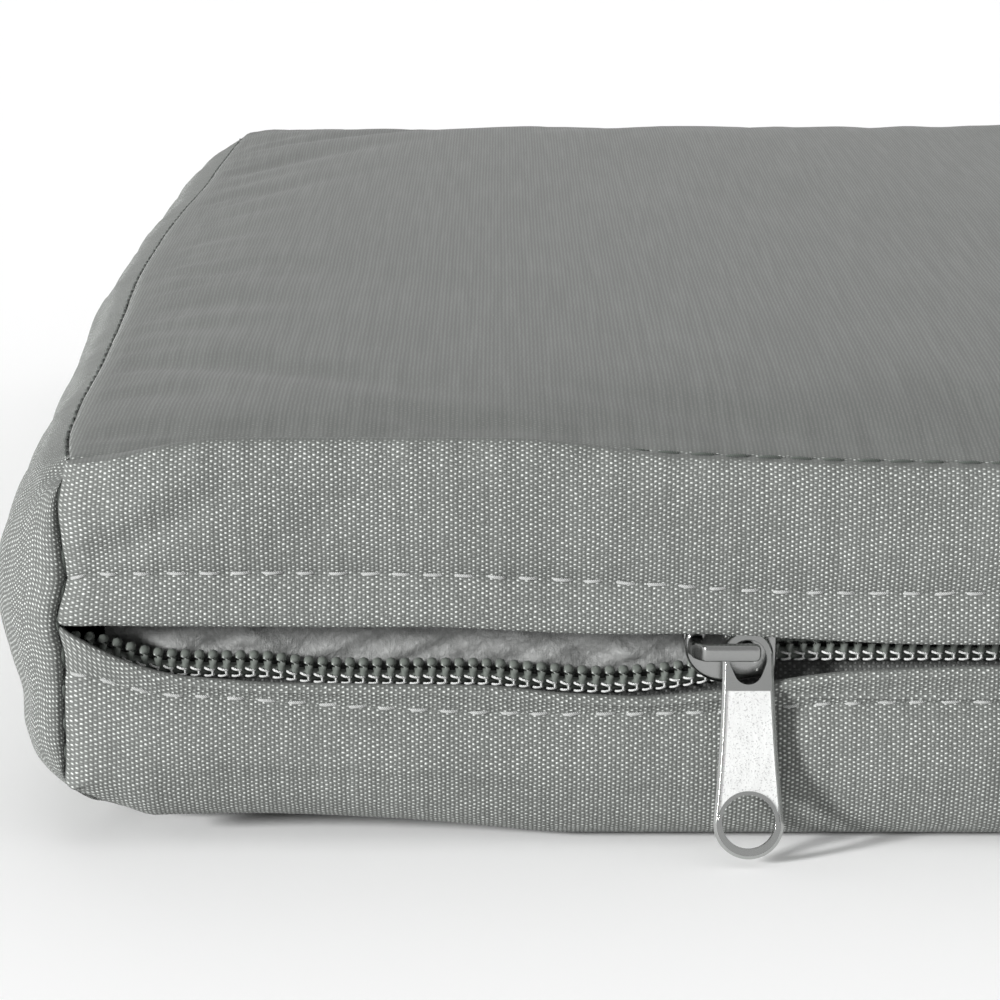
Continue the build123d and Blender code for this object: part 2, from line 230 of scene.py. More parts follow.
class Nodes:
    """Adds nodes to a tree. A node's values are numbers, colours, or the sockets that they come from."""

    def __init__(self, tree):
        """Keeps the tree that the nodes go into."""
        self.tree = tree

    def put(self, socket, value):
        """Gives a socket its value."""
        if isinstance(value, bpy.types.NodeSocket):
            self.tree.links.new(value, socket)
        else:
            socket.default_value = value

    def fill(self, node, **values):
        """Sets a node's properties and inputs by name: an underscore stands for a space in an input's."""
        for key, value in values.items():
            if hasattr(node, key):
                setattr(node, key, value)
            else:
                self.put(node.inputs[key.replace("_", " ")], value)

    def add(self, kind, *in_order, **values):
        """Adds a node, with inputs set in order and by name."""
        node = self.tree.nodes.new(kind)
        self.fill(node, **values)
        for socket, value in zip(node.inputs, in_order):
            self.put(socket, value)
        return node

    def maths(self, operation, *values):
        """The result of a maths node."""
        return self.add("ShaderNodeMath", *values, operation=operation).outputs[0]

    def plus(self, total, value, weight):
        """A total with a weighted value added to it."""
        return self.maths("ADD", total, self.maths("MULTIPLY", value, weight))

    def split(self, vector):
        """A vector's three parts."""
        return self.add("ShaderNodeSeparateXYZ", vector).outputs

    def ramp(self, value, low, high, from_value, to_value):
        """A smooth change between two values as a socket goes from low to high."""
        return self.add("ShaderNodeMapRange", interpolation_type="SMOOTHSTEP", Value=value, From_Min=low,
                        From_Max=high, To_Min=from_value, To_Max=to_value).outputs["Result"]

    def noise(self, vector, scale, detail=3.0, roughness=0.55, mapping=(1, 1, 1)):
        """A noise value along a vector, stretched by a mapping."""
        place = self.add("ShaderNodeMapping", Scale=mapping, Vector=vector).outputs[0]
        return self.add("ShaderNodeTexNoise", Scale=scale, Detail=detail, Roughness=roughness,
                        Vector=place).outputs["Fac"]

    def mix(self, factor, first, second):
        """A colour between two."""
        node = self.add("ShaderNodeMix", data_type="RGBA", Factor=factor)
        self.put(node.inputs[6], (*first, 1))
        self.put(node.inputs[7], (*second, 1))
        return node.outputs[2]

    def bump(self, height, strength, distance):
        """A surface direction, bumped by a height over a distance in millimetres."""
        return self.add("ShaderNodeBump", Strength=strength, Distance=distance * MM, Height=height).outputs[0]


def new_material(name):
    """A material, its shader and its nodes."""
    material = bpy.data.materials.new(name)
    material.use_nodes = True
    return material, material.node_tree.nodes["Principled BSDF"], Nodes(material.node_tree)


def woven(name, dark, light, warp=0.46, weft=0.262, depth=0.11, roughness=0.62):
    """A plain weave: warp threads warp mm apart and weft threads weft mm apart, with painted highlights on
    its warp crowns.

    The crowns' glints of the light are painted into the base colour, and the weft floats get a faint painted
    highlight too. These painted highlights and the bumps fade where the cloth faces up and is seen along its
    surface, which paints the top darker than the sides.
    """
    material, shader, nodes = new_material(name)
    add, maths, noise, plus = nodes.add, nodes.maths, nodes.noise, nodes.plus
    vector = add("ShaderNodeAttribute", attribute_name="weave").outputs["Vector"]
    waver = add("ShaderNodeTexNoise", Scale=0.8, Detail=2.0, Vector=vector).outputs["Color"]
    offset = add("ShaderNodeVectorMath", waver, (0.3, 0.3, 0), vector, operation="MULTIPLY_ADD")
    split = nodes.split(offset.outputs[0])
    columns = maths("DIVIDE", split[0], warp)
    rows = maths("DIVIDE", split[1], weft)
    along = maths("SINE", maths("MULTIPLY", columns, math.pi))
    across = maths("SINE", maths("MULTIPLY", rows, math.pi))
    sign = maths("GREATER_THAN", maths("MULTIPLY", along, across), 0.0)
    narrow = maths("POWER", maths("ABSOLUTE", along), 2.2)
    wide = maths("POWER", maths("ABSOLUTE", along), 0.6)
    tall = maths("POWER", maths("ABSOLUTE", across), 0.8)
    crown = maths("MULTIPLY", maths("MULTIPLY", narrow, tall), sign)
    float_weft = maths("MULTIPLY", maths("MULTIPLY", wide, tall), maths("SUBTRACT", 1.0, sign))
    cell = add("ShaderNodeCombineXYZ", maths("FLOOR", columns), maths("FLOOR", rows)).outputs[0]
    chance = add("ShaderNodeTexWhiteNoise", noise_dimensions="2D", Vector=cell).outputs["Value"]
    patches = noise(vector, 0.07, 3.0, 0.6)
    flats = noise(vector, 0.045, 2.0, 0.5)
    warp_streaks = noise(vector, 1.0, 1.0, 0.5, (1.1, 0.04, 0))
    facing_up = nodes.split(add("ShaderNodeNewGeometry").outputs["Normal"])[2]
    # Painted shade: where the cloth faces up, the painted crown highlights fade, so the top comes out darker
    # than the front.
    upright = nodes.ramp(facing_up, 0.62, 0.97, 1.0, 0.12)
    # Painted highlight: each warp crown's glint of the light, put into the base colour with a random
    # strength.
    painted_glint = maths("MULTIPLY", crown, plus(0.5, chance, 0.75))
    painted_glint = maths("MULTIPLY", painted_glint, plus(0.74, flats, 0.5))
    tone = plus(maths("MULTIPLY", painted_glint, upright), float_weft, 0.06)
    tone = plus(tone, maths("SUBTRACT", warp_streaks, 0.5), 0.1)
    tone = plus(tone, maths("SUBTRACT", patches, 0.5), 0.09)
    relief = maths("MULTIPLY", plus(crown, float_weft, 0.7), upright)
    rough = plus(plus(roughness, patches, 0.12), crown, -0.2)
    nodes.fill(shader, Base_Color=nodes.mix(tone, dark, light), Sheen_Weight=0.04, Specular_IOR_Level=0.3,
               Roughness=rough, Normal=nodes.bump(relief, 0.8, depth))
    return material


BOND_PITCH = 1.3


def fleece(name, dark, light):
    """Spunbond liner: pressed fibres in every direction, with point bonds, and creases with painted shade
    along them.
    """
    material, shader, nodes = new_material(name)
    maths = nodes.maths
    vector = nodes.add("ShaderNodeAttribute", attribute_name="weave").outputs["Vector"]
    fibres = nodes.noise(vector, 2.2, 4.0, 0.7, (1.0, 2.4, 1))
    cross = nodes.noise(vector, 1.9, 4.0, 0.7, (2.6, 0.8, 1))
    creases = nodes.add("ShaderNodeTexVoronoi", feature="DISTANCE_TO_EDGE", Scale=0.3, Vector=vector)
    split = nodes.split(vector)
    across, up = (maths("SINE", maths("MULTIPLY", split[i], 2 * math.pi / BOND_PITCH)) for i in (0, 1))
    bonds = maths("MAXIMUM", maths("MULTIPLY", across, up), 0.0)
    both = nodes.plus(nodes.plus(maths("MULTIPLY", fibres, 0.6), cross, 0.6), bonds, 0.22)
    # Painted shade: the colour darkens along the crease lines; the same value also bumps the creases.
    soft = maths("MINIMUM", maths("MULTIPLY", creases.outputs["Distance"], 2.2), 1.0)
    tone = nodes.plus(maths("MULTIPLY", both, 0.9), soft, 0.15)
    nodes.fill(shader, Base_Color=nodes.mix(tone, dark, light), Roughness=0.42, Sheen_Weight=0.2,
               Normal=nodes.bump(maths("ADD", both, soft), 0.7, 0.25))
    return material


def nylon(name, base, roughness=0.35):
    """Zip coil: a drawn nylon filament with fine scuffs."""
    material, shader, nodes = new_material(name)
    scuffs = nodes.noise(nodes.add("ShaderNodeTexCoord").outputs["Object"], 2500, 3.0, 0.6)
    nodes.fill(shader, Base_Color=nodes.mix(scuffs, [c * 0.75 for c in base], [c * 1.3 for c in base]),
               Roughness=nodes.plus(roughness - 0.12, scuffs, 0.25),
               Normal=nodes.bump(scuffs, 0.25, 0.02))
    return material


def thread(name, dark, light):
    """Sewing thread: a fine twist along its length."""
    material, shader, nodes = new_material(name)
    maths = nodes.maths
    place = nodes.add("ShaderNodeTexCoord").outputs["Object"]
    split = nodes.split(place)
    slant = nodes.plus(split[0], split[2], 0.9)
    twist = maths("SINE", maths("MULTIPLY", slant, 2 * math.pi / (0.22 * MM)))
    tone = nodes.plus(nodes.noise(place, 5000, 2.0), twist, 0.25)
    nodes.fill(shader, Base_Color=nodes.mix(tone, dark, light), Roughness=0.7, Sheen_Weight=0.3,
               Normal=nodes.bump(twist, 0.6, 0.04))
    return material


def plated(name, base, roughness, grain=0.0):
    """Nickel-plated casting with fine scratches; grain is how far it is sand-blasted."""
    material, shader, nodes = new_material(name)
    maths = nodes.maths
    place = nodes.add("ShaderNodeTexCoord").outputs["Object"]
    scratches = nodes.noise(place, 1800, 4.0, 0.7, (1, 1, 0.15))
    clouds = nodes.noise(place, 260, 3.0, 0.6)
    grains = nodes.noise(place, 5200, 2.0, 0.6)
    pits = maths("GREATER_THAN", grains, 0.6)
    dull = nodes.plus(maths("MULTIPLY", clouds, 0.3), pits, 0.7 * grain)
    relief = nodes.plus(scratches, grains, 2 * grain)
    nodes.fill(shader, Base_Color=nodes.mix(dull, base, [c * 0.6 for c in base]), Metallic=1.0,
               Roughness=nodes.plus(roughness - 0.06, scratches, 0.16),
               Normal=nodes.bump(relief, 0.1 + 0.3 * grain, 0.02))
    return material


COVER = woven("cover_weave", (0.098, 0.103, 0.097), (0.65, 0.675, 0.65))
TAPE = woven("tape_weave", (0.07, 0.073, 0.07), (0.2, 0.205, 0.2), warp=0.5, weft=0.35, depth=0.1)
LINER = fleece("liner_fleece", (0.08, 0.082, 0.08), (0.3, 0.306, 0.3))
NYLON = nylon("coil_nylon", (0.125, 0.138, 0.125))
TOPSTITCH = thread("topstitch_thread", (0.2, 0.206, 0.2), (0.52, 0.53, 0.52))
# Painted shade: the seam stitches are near black, standing for the shade in the seam grooves as well as for
# the thread.
SHADED_SEAM_THREAD = thread("seam_thread", (0.02, 0.028, 0.022), (0.075, 0.085, 0.075))
COIL_THREAD = thread("coil_thread", (0.35, 0.36, 0.35), (0.85, 0.86, 0.85))


# ------------------------------------------------------------------ lines of the cover

def from_left(x):
    """Distance from the left corner seam."""
    return np.asarray(x, float) - LEFT


def ends_of(a):
    """Distance from the nearer corner seam, from the distance from the left one."""
    return np.minimum(a, SPAN - a)


def height_line(points, sway=0.0, wavelength=1.0, seed=0, start=LEFT):
    """A height over the hems' line at every x, through (distance from the start, height) points."""
    def height(x):
        """Height over the hems' line at x."""
        return curve_through(points, np.asarray(x, float) - start) + sway * wander(x, wavelength, seed)
    return height


# Folded edges of the upper flap, of the lower flap where the zip is open, and of it from the slider on.
upper_edge = height_line(
    [(0, 2.5), (5, 2.8), (36, 2.8), (53, 2.1), (66, 2.0), (76, 1.55), (88, 0.95), (105, 0.85), (SPAN, 1.0)],
    0.06, 31, 5)
open_lower_edge = height_line(
    [(0, 2.3), (3.7, 0.0), (9, -2.0), (17.6, -3.1), (30, -3.5), (43, -3.6), (52, -4.5), (60, -4.8),
     (67, -4.3), (72, -4.0), (90, -4.1), (200, -3.6), (330, -2.4), (SPAN, -0.4)], 0.05, 23, 8)
closed_lower_edge = height_line(
    [(0, -3.7), (3.5, -3.2), (7, -2.65), (12, -2.05), (17, -1.8), (30, -1.45), (SPAN, -1.4)],
    0.06, 27, 9, start=SLIDER_X)
# Stitching of the upper and the lower hem.
upper_stitch_line = height_line(
    [(0, 7.4), (3, 8.2), (15, 8.5), (35, 8.4), (60, 7.4), (78, 6.4), (100, 6.3), (SPAN, 6.6)])
lower_stitch_line = height_line(
    [(0, -2.5), (3.6, -3.2), (9, -4.5), (16, -4.9), (25, -5.6), (35, -6.2), (50, -6.7), (66, -6.6),
     (80, -5.6), (100, -5.4), (SPAN - 20, -5.6), (SPAN, -3.4)])


def corner_out(z):
    """How far a front corner seam is from the middle of the pad, at a height."""
    points = [(2, 214.6), (6.5, 215.9), (10.5, 215.8), (21, 215.8), (24.3, 216.3), (29.5, 215.4),
              (33.5, 215.7), (37.5, 215.9), (40, 215.4), (43, 214.9)]
    return curve_through(points, z)


def corner_back(z):
    """Depth of a front corner seam, which runs back under at its lower end."""
    return SEAM_Y + 2.2 * bell(np.asarray(z, float) - 3, 4)


def top_seam(x):
    """Depth and height of the front top seam, which goes from behind the ridge on the left to on it."""
    a = from_left(x)
    points = [(0, 41.8), (5, 42.5), (12, 43.2), (22, 43.5), (45, 43.5), (63, 43.0), (80, 42.3),
              (100, 41.9), (200, 42.3), (330, 42.0), (SPAN - 12, 42.2), (SPAN, 41.6)]
    on_ridge = ease((a - 46) / 20)
    y = SEAM_Y + 0.2 * (1 - on_ridge) - 2.0 * on_ridge * (1 - np.exp(-(SPAN - a) / 6))
    return y, curve_through(points, a)


def bottom_seam(x):
    """Depth and height of the front bottom seam, which lifts at the corners."""
    a = from_left(x)
    lift = curve_through([(0, 6.3), (2.5, 4.8), (5, 3.5), (8.6, 2.15), (18, 2.15), (30, 1.8), (37, 1.36),
                          (45, 0.6), (52, 0.05), (200, 0.0), (SPAN - 30, 0.2), (SPAN - 8, 1.6),
                          (SPAN, 4.8)], a)
    return FRONT_Y + 7.0 - 3.4 * np.exp(-ends_of(a) / 5), 0.3 + lift


def end_top_seam(y, side):
    """An end's top seam: how far out it is, and its height."""
    points = [(SEAM_Y, 214.9), (-125, 216.3), (-112, 216.8), (-78, 217.2), (-50, 217.9), (-12, 218.9),
              (16, 218.9), (39, 218.2), (75, 216.9), (123, 215.6), (BACK_SEAM_Y, 214.9)]
    corner = bell(y - SEAM_Y, 8) + bell(y - BACK_SEAM_Y, 8)
    return curve_through(points, y), 41.5 + 0.3 * corner + 0.2 * wander(y, 70, 17 + side)


def end_bottom_seam(y, _side):
    """An end's bottom seam, the same at both ends: how far out it is, and its height."""
    corner = np.exp(-(y - SEAM_Y) / 7) + np.exp(-(BACK_SEAM_Y - y) / 7)
    return 211.0 + 4.6 * corner, 0.5 + 5.0 * corner + 1.0 * np.exp(-(y - SEAM_Y) / 4)


def back_top_seam(x):
    """Depth and height of the back top seam."""
    corner = np.exp(-ends_of(from_left(x)) / 7)
    return BACK_SEAM_Y + 1.4 * (1 - corner), 41.6 + 0.2 * wander(x, 70, 62)


def back_bottom_seam(x):
    """Depth and height of the back bottom seam."""
    corner = np.exp(-ends_of(from_left(x)) / 7)
    return BACK_SEAM_Y - 4.0 * (1 - corner), 0.5 + 5.0 * corner


def stations(fine_from, fine_to, fine, coarse, low=LEFT, high=RIGHT):
    """Places along the pad, close together in one stretch and wider apart elsewhere."""
    places = [low]
    while places[-1] < high - 1e-6:
        x = places[-1]
        away = max(0, fine_from - x, x - fine_to)
        step = fine + (coarse - fine) * ease(away / 60)
        places.append(min(high, x + float(step)))
    if places[-1] - places[-2] < 0.3 * fine:
        places.pop(-2)
    return np.array(places)


def smooth_profile(controls, samples):
    """A smooth profile through control rows: controls is (rows, columns, 3)."""
    last = len(controls) - 1
    t = np.linspace(0, last, samples)
    i = np.clip(t.astype(int), 0, last - 1)
    f = (t - i)[:, None, None]
    before, start, end, after = (controls[np.clip(i + k, 0, last)] for k in (-1, 0, 1, 2))
    return 0.5 * (2 * start + (end - before) * f + (2 * before - 5 * start + 4 * end - after) * f**2
                  + (3 * start - before - 3 * end + after) * f**3)


def rows_of(x, *rows):
    """Control rows for a profile from (y, z) pairs given for every x."""
    table = [np.stack([x, np.broadcast_to(y, x.shape), np.broadcast_to(z, x.shape)], axis=-1)
             for y, z in rows]
    return np.stack(table)


# ------------------------------------------------------------------ the front of the cover

GROOVE = np.array([0.0, 0.12, 0.3, 0.55, 0.85, 1.2, 1.6, 2.1, 2.7, 3.4])
FINE_X = np.concatenate([LEFT + GROOVE, stations(LEFT, LEFT + 115, 0.8, 3.0, LEFT + 4.2, RIGHT - 4.2),
                         RIGHT - GROOVE[::-1]])
CLOSED_FROM = SLIDER_X + 0.5
CLOSED_X = stations(SLIDER_X, SLIDER_X + 45, 0.8, 3.0, CLOSED_FROM, RIGHT - 0.5)


def pucker(along, across, reach, pitch, depth, seed):
    """Small ripples that run away from a line of stitches."""
    fall = np.exp(-np.abs(across) / reach)
    wave = np.sin(2 * np.pi * (along + 1.2 * wander(along, 29, seed)) / pitch)
    return depth * fall * (0.55 * wave + 0.6 * wander(along, 3.1 * pitch, seed + 1))


def crease(x, z, start, end, width, depth):
    """A soft fold along a line between two places on the front; a negative depth is a hollow."""
    way = end - start
    length = np.hypot(*way)
    way = way / length
    along = (x - start[0]) * way[0] + (z - start[1]) * way[1]
    across = (x - start[0]) * way[1] - (z - start[1]) * way[0]
    fade = ease((along + 0.35 * length) / (0.6 * length)) * ease((1.35 * length - along) / (0.6 * length))
    return depth * bell(across, width) * fade


# Folds on the front: from and to, over the left end of the hems' line, and each one's width and depth.
FOLDS = [
    ((2, 9.5), (15, 16), 1.8, -0.5), ((22, 12), (31, 17), 2.6, -0.35), ((4, 14), (16, 21), 2.4, 0.4),
    ((1, -6), (12, -14), 2.0, -0.35), ((40, 14), (75, 12), 3.0, -0.25),
]


def front_relief(x, z):
    """How far the front boxing stands out: soft waves, folds by the corner, and ripples along its seams."""
    over = z - HEM_Z
    out = 0.3 * wander(x + 0.6 * z, 47, 12) * bell(over - 14, 7)
    out = out + 0.3 * wander(x - 0.8 * z, 39, 13) * bell(over + 12, 6)
    seam_z = top_seam(x)[1]
    out = out + pucker(x, z - seam_z, 2.0, 4.4, 0.2, 21)
    out = out + pucker(x, over - upper_stitch_line(x), 1.5, 3.4, 0.13, 31)
    out = out + pucker(x, over - lower_stitch_line(x), 1.5, 3.4, 0.13, 41)
    out = out + pucker(z, ends_of(from_left(x)), 1.6, 3.6, 0.22, 45)
    for start, end, width, depth in FOLDS:
        start, end = np.add(start, (LEFT, HEM_Z)), np.add(end, (LEFT, HEM_Z))
        out = out + crease(x, z, start, end, width, depth)
    return out


def corner_dip(x):
    """How far the front falls back into the corner seams."""
    a = ends_of(from_left(x))
    return 1.3 * np.exp(-a / 0.5) + 1.4 * np.exp(-a / 5)


def tucked(points, left, right, first=None, last=None):
    """A grid of points with one more column, and row, past its edges, where the cloth goes into its seams."""
    points = np.concatenate([points[:, :1] + left, points, points[:, -1:] + right], axis=1)
    if first:
        points = np.concatenate([points[:1] + first, points, points[-1:] + last])
    return points


def front_cloth(name, controls, samples, flip=False):
    """A strip of the front boxing, with its relief, drawn in to the corner seams and tucked into them."""
    points = smooth_profile(controls, samples)
    x, z = points[..., 0].copy(), points[..., 2]
    a = ends_of(from_left(x))
    points[..., 1] -= front_relief(x, z) * (1 - np.exp(-a))
    pull = np.exp(-a / 4)
    points[..., 0] += np.sign(x) * (corner_out(z) - SEAM_X) * pull
    points = tucked(points, (0.25, 1.5, 0.0), (-0.25, 1.5, 0.0))
    along = controls[0, :, 0]
    along = np.concatenate([[along[0] - 1.5], along, [along[-1] + 1.5]])
    return cloth_grid(name, points, along, flip)


def upper_facing():
    """The upper front boxing, from the folded edge at the zip to the top seam."""
    x = FINE_X
    edge = HEM_Z + upper_edge(x)
    stitch = HEM_Z + upper_stitch_line(x)
    seam_y, seam_z = top_seam(x)
    a = from_left(x)
    f = FRONT_Y + corner_dip(x)
    puff = 1.0 - 0.6 * np.exp(-ends_of(a) / 6)
    over = (1 - ease((a - 46) / 20)) * ease((a - 2) / 14)
    rows = rows_of(
        x,
        (f + 1.5, stitch - 0.4), (f + 1.25, edge + 2.2), (f + 1.1, edge + 0.55), (f + 0.55, edge + 0.02),
        (f - 0.05, edge - 0.02), (f - 0.42, edge + 0.35), (f - 0.55, edge + 1.5),
        (f - 0.35, (edge + stitch) / 2 + 0.6), (f, stitch - 0.5), (f + 0.25, stitch),
        (f, stitch + 0.55), (f - 0.5 * puff, stitch + 1.8), (f - 1.1 * puff, stitch + 4.5),
        (f - 1.3 * puff, seam_z - 4.2), (f - 1.15 * puff, seam_z - 1.8),
        (f - 0.55 * puff, seam_z - 0.45 + 0.55 * over), (f + 0.1 + 0.35 * over, seam_z - 0.12 + 1.25 * over),
        (seam_y - 0.3 - 0.5 * over, seam_z - 0.05 + 0.85 * over), (seam_y, seam_z),
        (seam_y + 0.15, seam_z - 0.5), (seam_y + 0.4, seam_z - 1.6),
    )
    return front_cloth("upper_facing", rows, 110)


def hem_fold(x, edge_line, proud):
    """The rows round the lower flap's folded edge, its stitching's height, and the front's depth there."""
    edge = HEM_Z + edge_line(x)
    stitch = HEM_Z + lower_stitch_line(x)
    f = FRONT_Y + corner_dip(x)
    rows = [(f + 1.35, edge - 1.0), (f + 1.1, edge - 0.45), (f + 0.5 - proud, edge - 0.02),
            (f - 0.02 - proud, edge + 0.02), (f - 0.4 - proud, edge - 0.3), (f - 0.5 - proud, edge - 0.9),
            (f - 0.25 - 0.6 * proud, (edge + stitch) / 2)]
    return rows, stitch, f


def open_hem(proud):
    """The lower flap from its folded edge to just under its stitching, where the zip is open."""
    fold, stitch, f = hem_fold(FINE_X, open_lower_edge, proud)
    rows = rows_of(FINE_X, (f + 1.6, stitch - 0.2), *fold, (f + 0.08 - 0.2 * proud, stitch + 0.35),
                   (f + 0.2, stitch), (f + 0.32, stitch - 0.3))
    return front_cloth("lower_hem_open", rows, 48)


def lower_facing():
    """The lower front boxing, from its stitching down and under to the bottom seam."""
    x = FINE_X
    stitch = HEM_Z + lower_stitch_line(x)
    seam_y, seam_z = bottom_seam(x)
    f = FRONT_Y + corner_dip(x)
    puff = 1.0 - 0.6 * np.exp(-ends_of(from_left(x)) / 6)
    under = np.maximum((seam_y - f - 2.0) / 5.0, 0.12)
    rows = rows_of(
        x,
        (f + 0.22, stitch), (f, stitch - 0.55), (f - 0.5 * puff, stitch - 1.8),
        (f - 0.95 * puff, stitch - 4.0), (f - 0.95 * puff, (stitch + seam_z) / 2 + 0.6),
        (f - 0.3, seam_z + 6.2 * under), (f + 0.75 * under, seam_z + 3.5 * under),
        (f + 2.2 * under, seam_z + 1.6 * under), (f + 3.8 * under, seam_z + 0.65 * under),
        (f + 5.3 * under, seam_z + 0.15), (seam_y, seam_z), (seam_y + 0.3, seam_z + 0.6),
        (seam_y + 0.6, seam_z + 1.5),
    )
    return front_cloth("lower_facing", rows, 70, flip=True)


def closed_hem(proud=0.3):
    """The lower flap from the slider to the right end, where the zip is closed."""
    fold, stitch, f = hem_fold(CLOSED_X, closed_lower_edge, proud)
    rows = rows_of(CLOSED_X, *fold, (f + 0.05 - 0.2 * proud, stitch + 0.35), (f + 0.16, stitch))
    points = smooth_profile(rows, 44)
    points[..., 1] -= front_relief(points[..., 0], points[..., 2])
    return cloth_grid("lower_hem_closed", points, CLOSED_X)


# ------------------------------------------------------------------ ends, back, top and bottom

WRAP = 13.0
WRAP_TURNS = np.radians([0, 1.5, 4, 7, 11, 16, 22, 29, 36, 43, 50, 57, 64, 71, 78, 85])
WALL = [(0.0, 0.0), (0.04, 0.3), (0.1, 0.52), (0.2, 0.76), (0.34, 0.95), (0.46, 1.0), (0.58, 0.9),
        (0.68, 0.8), (0.78, 0.86), (0.87, 0.76), (0.94, 0.42), (1.0, 0.0)]


def wall_rows(count=72):
    """Shares of the way down a boxed side, with how far it bulges at each."""
    share = ease(np.linspace(0, 1, count)) * 0.6 + np.linspace(0, 1, count) * 0.4
    return share[:, None], curve_through(WALL, share)[:, None]


def end_boxing(name, side):
    """An end of the cover: it goes round the foam's corners from seam to seam, and bulges between them."""
    middle = np.concatenate([np.arange(SEAM_Y + WRAP + 1, -60, 1.3), np.linspace(-58, 60, 40),
                             np.arange(62, BACK_SEAM_Y - WRAP - 1, 2.0)])
    wrap_y = WRAP * (1 - np.cos(WRAP_TURNS))
    y = np.concatenate([SEAM_Y + wrap_y, middle, BACK_SEAM_Y - wrap_y[::-1]])
    turn = np.concatenate([np.sin(WRAP_TURNS), np.ones(len(middle)), np.sin(WRAP_TURNS[::-1])])
    groove = np.exp(-np.concatenate([WRAP_TURNS, np.full(len(middle), 9.0), WRAP_TURNS[::-1]]) * WRAP / 0.8)
    share, bulge = wall_rows()
    top_out, top_z = end_top_seam(y, side)
    low_out, low_z = end_bottom_seam(y, side)
    z = top_z + (low_z - top_z) * share
    seam_out = corner_out(z)
    base = top_out + (low_out - top_out) * share**2.5
    uneven = 1 + 0.10 * wander(y, 55, 19 + side) + 0.05 * wander(y, 21, 29 + side)
    fuller = curve_through([(-95, 0.0), (-50, 0.3), (10, 1.6), (75, 3.0), (125, 4.0)], y)
    wall = base + (8.2 * uneven + fuller) * bulge
    wall = wall + 0.35 * wander(y + 1.5 * z, 31, 57 + side) * np.sqrt(bulge)
    wall = wall + pucker(y, (z - top_z), 2.2, 4.6, 0.3, 51 + side)
    wall = wall + pucker(y, (z - low_z), 2.0, 4.6, 0.25, 53 + side)
    out = seam_out + (wall - seam_out) * turn
    forward = (1.3 * np.sqrt(bulge) + 0.2) * (1 - groove) * np.cos(np.arcsin(np.clip(turn, 0, 1)))
    forward = forward + pucker(z, 0 * z, 1, 3.7, 0.3, 59) * (1 - turn) * (1 - groove)
    place_y = y - np.where(y < 0, 1, -1) * forward
    at_front = np.where(y < 0, corner_back(z) - SEAM_Y, 0) * (1 - turn)
    place_y = place_y + at_front
    dimple = bell(place_y - (SEAM_Y + 1.4), 2.0) * bell(z - 40.3, 1.3) if side < 0 else 0
    out = out - 2.4 * dimple * np.clip(turn * 3, 0, 1)
    points = np.stack([side * out, place_y, z], axis=-1)
    points = tucked(points, (side * -0.3, 1.5, 0.0), (side * -0.3, -1.5, 0.0),
                    (side * -0.7, 0.0, -1.2), (side * -0.7, 0.0, 1.0))
    along = arc_lengths(points, 1)[len(points) // 2 - 1]
    return cloth_grid(name, points, along, flip=side > 0)


def back_boxing():
    """The back of the cover: one plain strip between the back corner seams."""
    x = np.concatenate([LEFT + GROOVE, np.linspace(LEFT + 5, RIGHT - 5, 190), RIGHT - GROOVE[::-1]])
    a = ends_of(from_left(x))
    top_y, top_z = back_top_seam(x)
    low_y, low_z = back_bottom_seam(x)
    share, bulge = wall_rows(48)
    z = top_z + (low_z - top_z) * share
    hold = 1 - np.exp(-a / 7)
    base = top_y + (low_y - top_y) * share**2.5
    swell = 3.9 * bulge * (1 + 0.15 * wander(x, 66, 61)) + 0.3 * wander(x + z, 33, 63) * np.sqrt(bulge)
    out = base + swell * hold
    out = out + 1.3 * (1 - np.exp(-a / 0.6)) * np.sqrt(bulge)
    out = out + pucker(x, z - top_z, 2.2, 4.6, 0.3, 65) * hold
    out = out + pucker(x, z - low_z, 2.0, 4.6, 0.25, 67) * hold
    points = np.stack([np.broadcast_to(x, z.shape), out, z], axis=-1)
    points[..., 0] += np.sign(x) * 0.7 * np.exp(-a / 4)
    points = tucked(points, (0.3, -1.5, 0.0), (-0.3, -1.5, 0.0), (0.0, -0.7, -1.2), (0.0, -0.7, 1.0))
    along = np.concatenate([[x[0] - 1.5], x, [x[-1] + 1.5]])
    return cloth_grid("back_boxing", points, along, flip=True)


EDGE_STEPS = np.array([0, 0.25, 0.55, 0.95, 1.5, 2.2, 3.1, 4.3, 5.8])


def face_grid():
    """Shares along and across a face panel, close together by its seams."""
    x = np.concatenate([LEFT + EDGE_STEPS, stations(LEFT, LEFT + 115, 1.5, 3.6, LEFT + 7.5, RIGHT - 7.5),
                        RIGHT - EDGE_STEPS[::-1]])
    y = np.concatenate([SEAM_Y + EDGE_STEPS, np.linspace(SEAM_Y + 7.6, BACK_SEAM_Y - 7.6, 96),
                        BACK_SEAM_Y - EDGE_STEPS[::-1]])
    return (x - LEFT) / SPAN, (y - SEAM_Y) / (BACK_SEAM_Y - SEAM_Y)


